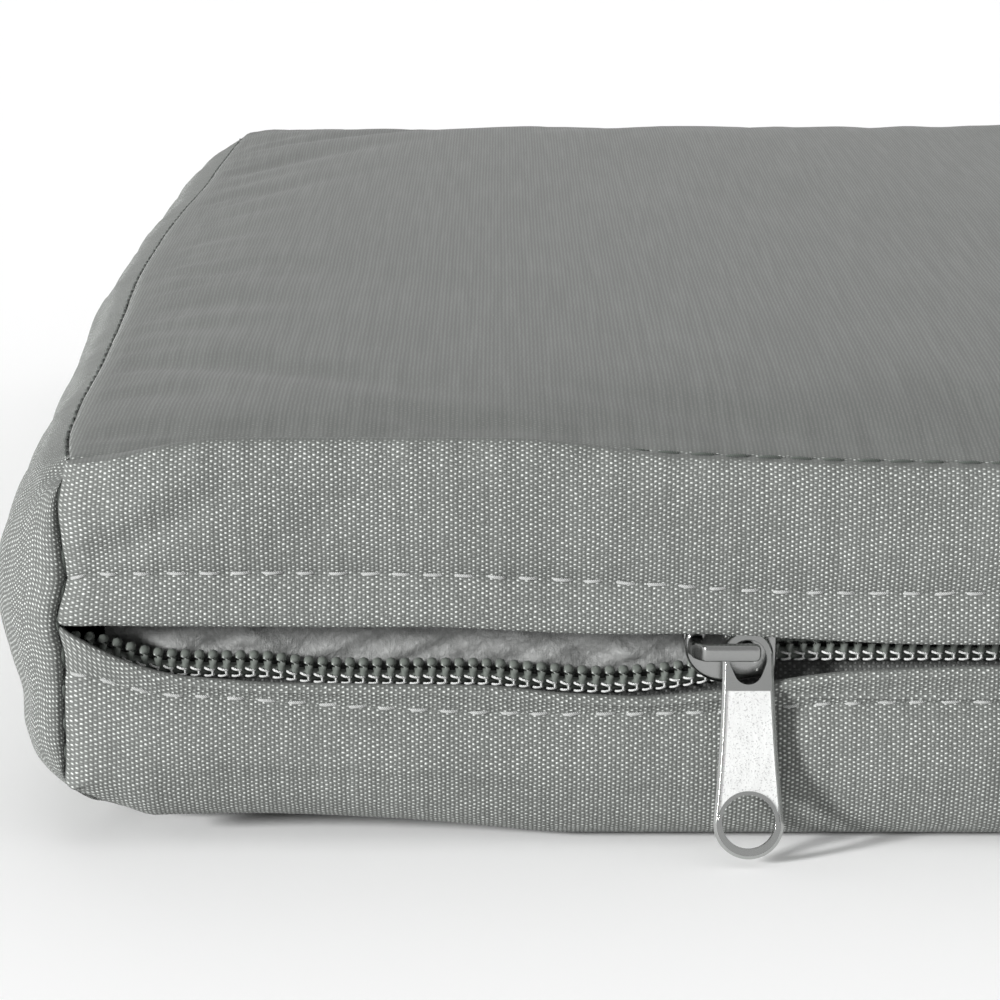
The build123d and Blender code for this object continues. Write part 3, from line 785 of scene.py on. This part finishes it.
def face_panel(name, top):
    """The top or bottom panel: it rolls out of its seam all round, and the top one is crowned."""
    s, t = face_grid()
    x, y = LEFT + s * SPAN, SEAM_Y + t * (BACK_SEAM_Y - SEAM_Y)
    front_y, front_z = top_seam(x) if top else bottom_seam(x)
    back_y, back_z = back_top_seam(x) if top else back_bottom_seam(x)
    end_out, end_z = (end_top_seam if top else end_bottom_seam)(y, -1)
    s, t = s[None, :], t[:, None]
    px = (2 * s - 1) * end_out[:, None]
    py = front_y + (back_y - front_y) * t
    to_end, to_front, to_back = end_out[:, None] - np.abs(px), py - front_y, back_y - py
    near = sum(np.maximum(distance, 1e-3) ** -3 for distance in (to_end, to_front, to_back))
    edge = near ** (-1 / 3)
    weights = np.stack([np.exp(-to_front / 9), np.exp(-to_back / 9), np.exp(-to_end / 9)]) + 1e-9
    heights = np.stack([np.broadcast_to(front_z, px.shape), np.broadcast_to(back_z, px.shape),
                        np.broadcast_to(end_z[:, None], px.shape)])
    seam_z = (weights * heights).sum(0) / weights.sum(0)
    if top:
        crown = 44.2 + (CROWN_Z - 45.2) * (np.sin(np.pi * t) * np.sin(np.pi * s)) ** 0.4
        low_side = 1.9 * ease((from_left(px) - 40) / 60) * np.exp(-to_front / 14)
        low_side = low_side + 1.5 * bell(from_left(px), 15) * np.exp(-to_front / 16)
        rise = 0.45 * (1 - np.exp(-edge / 0.9)) + 0.55 * (1 - np.exp(-edge / 7))
        pz = seam_z + (crown - low_side - seam_z) * rise
        pz = pz + 0.25 * wander(px + 0.5 * py, 90, 71) * (1 - np.exp(-edge / 20))
        gentle = 1 - np.exp(-edge)
        pz = pz + pucker(px, to_front, 3.2, 4.4, 0.25, 72) * gentle
        pz = pz + pucker(px, to_back, 3.2, 4.4, 0.25, 74) * gentle
        pz = pz + pucker(py, to_end, 3.2, 4.6, 0.25, 76) * gentle
    else:
        pz = 0.1 + seam_z * np.exp(-edge / 4)
    points = np.stack([px, py, pz], axis=-1)
    turn_in = np.zeros_like(points)
    turn_in[0, :, 1], turn_in[-1, :, 1] = 0.5, -0.5
    turn_in[:, 0, 0], turn_in[:, -1, 0] = 0.5, -0.5
    turn_in[0, :, 2] = turn_in[-1, :, 2] = turn_in[:, 0, 2] = turn_in[:, -1, 2] = -1.3 if top else 1.3
    points += turn_in
    points[..., 2] = np.maximum(points[..., 2], ON_FLOOR)
    weave = np.stack([px, py], axis=-1)
    return make_mesh(name, points.reshape(-1, 3), grid_faces(*px.shape, flip=not top), weave)


# ------------------------------------------------------------------ the zip

COIL_PITCH = 1.45
COIL_TALL = 2.8
COIL_DEEP = 1.9
WIRE = 0.36
CORD = 0.5
BEHIND = 0.264


def behind_flap(rise, depth):
    """A height over the zip's centre, from one over the hems' line as it shows past the flap in front."""
    return HEM_Z - ZIP_Z + rise - BEHIND * (depth - FRONT_Y)


def open_lower_coil(x):
    """Centre line of the lower coil where the zip is open: its heads show over the lower flap."""
    points = [(0, 2.2), (2.7, 1.8), (8, 0.4), (13.4, 0.0), (20, -0.1), (25, -0.65), (30, -0.85),
              (43, -0.9), (49, -1.3), (55, -1.75), (60, -1.6), (64, -1.2), (68, -0.5), (72, 0.1), (80, -0.6),
              (200, -0.9), (330, -0.4), (SPAN, 0.6)]
    return behind_flap(curve_through(points, from_left(x)), COIL_Y - COIL_DEEP / 2) - COIL_TALL / 2


def open_upper_coil(x):
    """Centre line of the upper coil where the zip is open: its heads just show under the upper flap."""
    points = [(0, 3.4), (10, 3.6), (40, 3.0), (53, 2.0), (60, 1.9), (66, 1.6), (72, 1.0), (80, 2.6),
              (200, 3.0), (330, 2.0), (SPAN, 1.2)]
    return behind_flap(curve_through(points, from_left(x)), COIL_Y - COIL_DEEP / 2) + COIL_TALL / 2


def coil_mesh(name, x_from, x_to, centre, depth, side):
    """A zip coil: flattened turns of filament, upright in front, with wide heads at the zip's centre."""
    turns = int((x_to - x_from) / COIL_PITCH)
    per_turn, sides = 20, 8
    travelled = np.linspace(0, turns, turns * per_turn + 1)
    part = travelled % 1.0
    c, s = np.cos(2 * np.pi * part), np.sin(2 * np.pi * part)
    x = x_from + (np.floor(travelled) + ease((part - 0.36) / 0.28)) * COIL_PITCH
    tall = np.sign(c) * np.abs(c) ** 0.85 * (COIL_TALL / 2 - WIRE)
    deep = np.sign(s) * np.abs(s) ** 0.95 * (COIL_DEEP / 2 - WIRE)
    path = np.stack([x, depth(x) - deep, ZIP_Z + centre(x) - side * tall], axis=1)
    points, faces = tube(path, WIRE, sides)
    head = np.repeat(0.5 * ease(c + 0.2), sides)
    points[:, 0] += head * (points[:, 0] - np.repeat(path[:, 0], sides))
    cord = np.linspace(x_from, x_from + turns * COIL_PITCH, turns * 2)
    cord_path = np.stack([cord, depth(cord) + 0.05, ZIP_Z + centre(cord) + side * 0.5], axis=1)
    points, faces = merged([(points, faces), tube(cord_path, CORD, 8)])
    return make_mesh(name, points, faces)


def coil_sewing(name, x_from, x_to, centre, depth, side):
    """Two rows of thread that hold a coil down, each caught up on one side of every turn."""
    parts = []
    reach = np.linspace(-1, 1, 9)
    for turn in range(1, int((x_to - x_from) / COIL_PITCH)):
        middle = x_from + turn * COIL_PITCH - 0.38
        for row, lean in ((0.5, 0.08), (1.16, -0.08)):
            x = middle + 0.48 * reach
            dive = 0.4 * np.clip(-reach, 0, 1) ** 2 + 0.2 * np.clip(reach, 0, 1) ** 4
            y = depth(x) - COIL_DEEP / 2 - 0.1 + dive
            z = ZIP_Z + centre(x) + side * (row + lean * reach)
            parts.append(tube(np.stack([x, y, z], axis=1), 0.13, 6))
        x = np.full(5, middle + 0.36)
        z = ZIP_Z + centre(x) + side * np.linspace(0.5, 1.16, 5)
        parts.append(tube(np.stack([x, depth(x) - COIL_DEEP / 2 - 0.04, z], axis=1), 0.11, 6))
    points, faces = merged(parts)
    return make_mesh(name, points, faces)


def tape_strip(name, x, centre, depth, side):
    """A zip tape, from under its coil to under the hem."""
    z0 = ZIP_Z + centre(x)
    y0 = depth(x) + COIL_DEEP / 2 + 0.15
    rows = rows_of(
        x,
        (y0 + 0.5, z0 - side * 0.3), (y0, z0 - side * 0.1), (y0, z0 + side * 1.5),
        (y0 - 0.3, z0 + side * 2.6), (y0 - 1.2, z0 + side * 4.2), (FRONT_Y + 1.75, ZIP_Z + side * 9.0),
        (FRONT_Y + 1.75, ZIP_Z + side * 12.0),
    )
    points = smooth_profile(rows, 26)
    return cloth_grid(name, points, x, flip=side < 0)


def liner_sheet():
    """The crumpled spunbond liner behind the open zip."""
    x = stations(LEFT + 2, LEFT + 80, 0.7, 3.0, LEFT + 3, RIGHT - 3)
    z = np.linspace(ZIP_Z - 9, ZIP_Z + 10, 40)
    gx, gz = np.meshgrid(x, z)
    y = np.full(gx.shape, FRONT_Y + 6.0)
    y += 0.5 * wander(gx + 1.4 * gz, 13, 81) + 0.4 * wander(gx - 2.1 * gz, 8.5, 82)
    y += 0.25 * wander(0.4 * gx + 2.6 * gz, 6, 83) + 0.18 * wander(gx + 0.7 * gz, 3.1, 84)
    y += 2.2 * (1 - ease((gx - LEFT - 6) / 5))
    y = np.maximum(y, FRONT_Y + 4.9) + 3.6 * ease((gx - LEFT - 66) / 8)
    return cloth_grid("liner_bag", np.stack([gx, y, gz], axis=-1), x)


CHAIN_DROP = 0.25
OPEN_STATIONS = FINE_X[(FINE_X > LEFT + 1.0) & (FINE_X < RIGHT - 1.0)]


def open_depth(x):
    """Depth of the open coils: level with the slider up to it, and set back past it."""
    return COIL_Y + 0.3 + 2.7 * ease((from_left(x) - 70) / 6)


def closed_depth(x):
    """Depth of the closed chain."""
    return COIL_Y + 0 * x


# ------------------------------------------------------------------ build

pieces = {}


def place(piece, material, slot, body="root", nodes=()):
    """Gives a piece its material and body, and hides the CAD nodes that it stands for; slot is not used."""
    piece.data.materials.append(material)
    if nodes:
        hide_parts(*nodes)
    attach(piece, body)
    pieces[piece.name] = piece
    return piece


SETTLE_FRAMES = 20
SETTLE_CAP = 1.6
SEAM_MARGIN = 4.5


def vertices_of(mesh):
    """A mesh's vertices, in metres."""
    places = np.empty(3 * len(mesh.vertices))
    mesh.vertices.foreach_get("co", places)
    return places.reshape(-1, 3)


def settle(piece, held):
    """Lets a panel swell between its seams in a short cloth simulation. The held vertices stay put."""
    mesh = piece.data
    rest = vertices_of(mesh)
    piece.vertex_groups.new(name="seam").add([int(i) for i in np.flatnonzero(held)], 1.0, "REPLACE")
    cloth = piece.modifiers.new("settle", "CLOTH")
    cloth.settings.vertex_group_mass = "seam"
    cloth.settings.quality = 4
    cloth.settings.mass = 0.2
    cloth.settings.tension_stiffness = cloth.settings.compression_stiffness = 12
    cloth.settings.shear_stiffness = 6
    cloth.settings.bending_stiffness = 1.5
    cloth.settings.shrink_min = -0.003
    cloth.settings.use_pressure = True
    cloth.settings.uniform_pressure_force = 1.5
    cloth.settings.effector_weights.gravity = 0
    cloth.collision_settings.use_collision = False
    cloth.point_cache.frame_start, cloth.point_cache.frame_end = 1, SETTLE_FRAMES
    scene = bpy.context.scene
    for frame_number in range(1, SETTLE_FRAMES + 1):
        scene.frame_set(frame_number)
    step = vertices_of(piece.evaluated_get(bpy.context.evaluated_depsgraph_get()).to_mesh()) - rest
    far = np.linalg.norm(step, axis=1, keepdims=True)
    step *= np.tanh(far / (SETTLE_CAP * MM)) * SETTLE_CAP * MM / np.maximum(far, 1e-9)
    piece.modifiers.remove(cloth)
    piece.vertex_groups.clear()
    scene.frame_set(1)
    rest += step
    rest[:, 2] = np.maximum(rest[:, 2], ON_FLOOR * MM)
    mesh.vertices.foreach_set("co", rest.ravel())
    mesh.update()


def by_seam(piece, margin):
    """Which vertices of a panel are within a margin of its edges, along the surface's own box."""
    places = vertices_of(piece.data) / MM
    low, high = places.min(0), places.max(0)
    size = high - low
    near = np.zeros(len(places), bool)
    for axis in np.argsort(size)[1:]:
        near |= (places[:, axis] < low[axis] + margin) | (places[:, axis] > high[axis] - margin)
    return near


PANELS = [
    (upper_facing(), ["zip_facing_upper"]), (lower_facing(), ["zip_facing_lower"]),
    (end_boxing("left_boxing", -1), ["side_panel_left"]),
    (end_boxing("right_boxing", 1), ["side_panel_right"]), (back_boxing(), ["back_panel"]),
    (face_panel("top_cover", True), ["top_panel", "foam_core"]),
    (face_panel("bottom_cover", False), ["bottom_panel"]),
]
for panel, _ in PANELS:
    if panel.name in ("top_cover", "left_boxing", "right_boxing", "back_boxing"):
        settle(panel, by_seam(panel, SEAM_MARGIN))
for panel, nodes in PANELS:
    place(panel, COVER, "cover_fabric", nodes=nodes)
set_back = -0.12 * ease((from_left(FINE_X) - 71) / 6)
place(open_hem(set_back), COVER, "cover_fabric")
place(liner_sheet(), LINER, "liner_fleece", nodes=["inner_liner"])


def zip_side(name, side, x_from, x_to, tape_x, centre, depth, body="root", stands_for=False):
    """One side of the zip: its coil, the sewing on it and its tape. name is open or closed."""
    word = "upper" if side > 0 else "lower"
    nodes = [[f"zip_coil_{word}", f"coil_core_cord_{word}"], [f"coil_stitching_{word}"], [f"zip_tape_{word}"]]
    coil_nodes, thread_nodes, tape_nodes = nodes if stands_for else ([], [], [])
    return [
        place(coil_mesh(f"{name}_coil_{word}", x_from, x_to, centre, depth, side), NYLON, "coil_nylon", body,
              coil_nodes),
        place(coil_sewing(f"{name}_coil_thread_{word}", x_from, x_to, centre, depth, side), COIL_THREAD,
              "thread", body, thread_nodes),
        place(tape_strip(f"{name}_tape_{word}", tape_x, centre, depth, side), TAPE, "zip_tape", body,
              tape_nodes),
    ]


for side, centre in ((1, open_upper_coil), (-1, open_lower_coil)):
    zip_side("open", side, LEFT + 0.4, RIGHT - 1.5, OPEN_STATIONS, centre, open_depth, stands_for=True)
closed = []
for side in (1, -1):
    half_turn = 0.5 * COIL_PITCH if side > 0 else 0
    closed += zip_side("closed", side, CLOSED_FROM + half_turn, RIGHT - 1, CLOSED_X,
                       lambda x, side=side: CHAIN_DROP + side * 0.95 + 0 * x, closed_depth, "slider")
closed.append(place(closed_hem(), COVER, "cover_fabric", "slider"))
for piece in closed:
    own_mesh(piece)


def front_line(height):
    """Points and outward directions along a row of stitching on the front."""
    x = np.arange(LEFT + 0.6, RIGHT - 0.6, 0.4)
    z = HEM_Z + height(x)
    a = ends_of(from_left(x))
    y = FRONT_Y + corner_dip(x) + 0.22 - front_relief(x, z) * (1 - np.exp(-a))
    x = x + np.sign(x) * (corner_out(z) - SEAM_X) * np.exp(-a / 4)
    return np.stack([x, y, z], axis=1), np.tile([0.0, -1.0, 0.0], (len(x), 1))


def seam_line(along, across, z, at_end, lift):
    """Points along a seam and the way out of its groove: at_end is True for a seam of an end."""
    side = np.sign(across[0])
    points = np.stack([along, across + side * lift, z], axis=1)
    way_out = np.tile([0.0, side * 0.7, 0.7], (len(along), 1))
    order = [1, 0, 2] if at_end else [0, 1, 2]
    return points[:, order], way_out[:, order]


def joined(name, rows):
    """One piece from several rows of stitches."""
    points, faces = merged(rows)
    return make_mesh(name, points, faces)


for word, line, length, pitch, seed in (("upper", upper_stitch_line, 2.15, 3.4, 11),
                                        ("lower", lower_stitch_line, 2.1, 3.3, 13)):
    place(joined(f"topstitch_row_{word}", [stitch_row(*front_line(line), length, pitch, 0.2, seed)]),
          TOPSTITCH, "thread", nodes=[f"topstitch_{word}"])
# The top and bottom seam rows: stitches sunk in the grooves, coloured near black as painted shade of the
# grooves.
seam_x = np.arange(LEFT + 9.0, RIGHT - 9.0, 0.5)
seam_y = np.arange(SEAM_Y + 4.0, BACK_SEAM_Y - 4.0, 0.5)
for name, front, back, end, rise in (("top", top_seam, back_top_seam, end_top_seam, 0.0),
                                     ("bottom", bottom_seam, back_bottom_seam, end_bottom_seam, -0.1)):
    rows = []
    lift = 0.1 if name == "top" else -0.4
    for k, edge in enumerate((front, back)):
        x = seam_x if name == "top" else seam_x[20:-20]
        across, z = edge(x)
        rows.append(stitch_row(*seam_line(x, across, z + rise, False, lift), 2.7, 3.5, 0.22, 17 + k))
    for k, side in enumerate((-1, 1)):
        y = seam_y if name == "top" else seam_y[36:-36]
        out, z = end(y, side)
        rows.append(stitch_row(*seam_line(y, side * out, z + rise, True, lift), 2.2, 3.6, 0.17, 19 + k))
    place(joined(f"seam_row_{name}", rows), SHADED_SEAM_THREAD, "thread", nodes=[f"seam_thread_{name}"])
# The corner seam rows: stitches coloured near black as painted shade of the corner grooves.
corner_z = np.arange(9.0, 41.0, 0.4)
front_y, back_y = corner_back(corner_z), np.full(len(corner_z), BACK_SEAM_Y)
rows = []
for k, (side, y) in enumerate(((-1, front_y), (1, front_y), (-1, back_y), (1, back_y))):
    way = -1.0 if y[0] < 0 else 1.0
    line = np.stack([side * corner_out(corner_z), y + 0.3 * way, corner_z], axis=1)
    rows.append(stitch_row(line, np.tile([0.0, way, 0.0], (len(line), 1)), 2.9, 3.5, 0.24, 23 + k))
place(joined("seam_row_corners", rows), SHADED_SEAM_THREAD, "thread", nodes=["seam_thread_corners"])

# ------------------------------------------------------------------ metal parts


def copied(node, name):
    """A copy of a CAD node's mesh, as an object of its own."""
    mesh = frame["nodes"][node].data.copy()
    mesh.name = name
    mesh.materials.clear()
    piece = bpy.data.objects.new(name, mesh)
    bpy.context.scene.collection.objects.link(piece)
    return piece


def edged(node, name, width):
    """A stamped metal part: the CAD node's mesh with a small bright bevel on every sharp edge."""
    piece = copied(node, name)
    shape = bmesh.new()
    shape.from_mesh(piece.data)
    bmesh.ops.remove_doubles(shape, verts=shape.verts, dist=1e-7)
    bmesh.ops.dissolve_limit(shape, angle_limit=math.radians(0.5), verts=shape.verts, edges=shape.edges)
    sharp = [e for e in shape.edges if len(e.link_faces) == 2 and e.calc_face_angle() > math.radians(28)]
    bmesh.ops.bevel(shape, geom=sharp, offset=width * MM, offset_type="OFFSET", segments=3, profile=0.5,
                    affect="EDGES", clamp_overlap=True)
    for face in shape.faces:
        face.smooth = True
    shape.to_mesh(piece.data)
    shape.free()
    piece.modifiers.new("flat_faces", "WEIGHTED_NORMAL").weight = 90
    return piece


def cast(node, name, grain, rounds):
    """A cast and tumbled metal part: the CAD node's mesh with its edges worn round."""
    piece = copied(node, name)
    remesh = piece.modifiers.new("even", "REMESH")
    remesh.mode = "VOXEL"
    remesh.voxel_size = grain * MM
    tumbled = piece.modifiers.new("tumbled", "SMOOTH")
    tumbled.factor = 0.5
    tumbled.iterations = rounds
    worn = piece.evaluated_get(bpy.context.evaluated_depsgraph_get())
    mesh = bpy.data.meshes.new_from_object(worn)
    piece.modifiers.clear()
    piece.data = mesh
    mesh.polygons.foreach_set("use_smooth", [True] * len(mesh.polygons))
    return piece


def blast_panel(tab):
    """Gives the sunk floor on each face of the tab its sand-blasted material."""
    hinge = next(joint for joint in frame["joints"] if joint["name"] == "tab_swing")
    pivot, axis = Vector(hinge["pos_m"]), Vector(hinge["axis"]).normalized()
    outer = max(abs((v.co - pivot).dot(axis)) for v in tab.data.vertices)
    for face in tab.data.polygons:
        across = abs(face.normal.dot(axis))
        off = abs((face.center - pivot).dot(axis))
        if across > 0.98 and off < outer - 0.1 * MM:
            face.material_index = 1


SLIDER_NICKEL = plated("slider_nickel", (0.36, 0.365, 0.36), 0.18)
TAB_NICKEL = plated("tab_nickel", (0.5, 0.51, 0.5), 0.12)
TAB_BLASTED = plated("tab_blasted", (0.93, 0.94, 0.93), 0.5, grain=1.0)
place(cast("slider_body", "slider_casting", grain=0.08, rounds=110), SLIDER_NICKEL, "slider_metal", "slider",
      ["slider_body"])
tab = place(edged("pull_tab", "tab_casting", width=0.22), TAB_NICKEL, "tab_metal", "pull_tab", ["pull_tab"])
tab.data.materials.append(TAB_BLASTED)
blast_panel(tab)

# ------------------------------------------------------------------ floor, light and camera

FLOOR = 9  # metres from its middle to its edges
floor_mesh = bpy.data.meshes.new("floor")
floor_mesh.from_pydata([(-FLOOR, -FLOOR, 0), (FLOOR, -FLOOR, 0), (FLOOR, FLOOR, 0), (-FLOOR, FLOOR, 0)], [],
                       [(0, 1, 2, 3)])
floor = bpy.data.objects.new("floor", floor_mesh)
bpy.context.scene.collection.objects.link(floor)
floor_material, floor_shader, floor_nodes = new_material("floor_white")
floor_nodes.fill(floor_shader, Base_Color=(0.95, 0.95, 0.95, 1), Roughness=0.9)
floor.data.materials.append(floor_material)


def sun_light(name, direction, angle, power):
    """A far soft light that shines along a direction."""
    data = bpy.data.lights.new(name, "SUN")
    data.energy = power
    data.angle = math.radians(angle)
    lamp = bpy.data.objects.new(name, data)
    lamp.rotation_euler = Vector(direction).to_track_quat("-Z", "Y").to_euler()
    bpy.context.scene.collection.objects.link(lamp)


sun_light("key", direction=(0.78, 0.57, -0.27), angle=11, power=5.2)

world = bpy.data.worlds.new("studio")
world.use_nodes = True
sky = Nodes(world.node_tree)
to_right, to_back, to_sky = sky.split(sky.add("ShaderNodeTexCoord").outputs["Generated"])
overhead = sky.ramp(to_sky, 0.3, 0.95, 1.03, 0.8)
behind_camera = sky.ramp(to_back, -0.9, 0.4, 0.55, 1.05)
to_left = sky.ramp(to_right, -0.9, 0.0, 1.0, 0.0)
above_horizon = sky.ramp(to_sky, 0.12, 0.24, 0.0, 1.0)
left_flag = sky.ramp(sky.maths("MULTIPLY", to_left, above_horizon), 0.0, 1.0, 1.02, 0.0)
strength = sky.maths("MULTIPLY", sky.maths("MULTIPLY", overhead, behind_camera), left_flag)
sky.fill(world.node_tree.nodes["Background"], Color=(1, 1, 1, 1), Strength=strength)
bpy.context.scene.world = world

PITCH = math.radians(12.6)
camera_data = bpy.data.cameras.new("camera")
camera_data.lens = 133.9
camera_data.sensor_width = 36
camera_data.clip_start = 0.01
camera = bpy.data.objects.new("camera", camera_data)
camera.location = (-0.1697, -0.5172, 0.1225)
camera.rotation_euler = (math.pi / 2 - PITCH, 0, 0)
bpy.context.scene.collection.objects.link(camera)
bpy.context.scene.camera = camera
bpy.context.scene.view_settings.view_transform = "Standard"

bpy.context.view_layer.update()
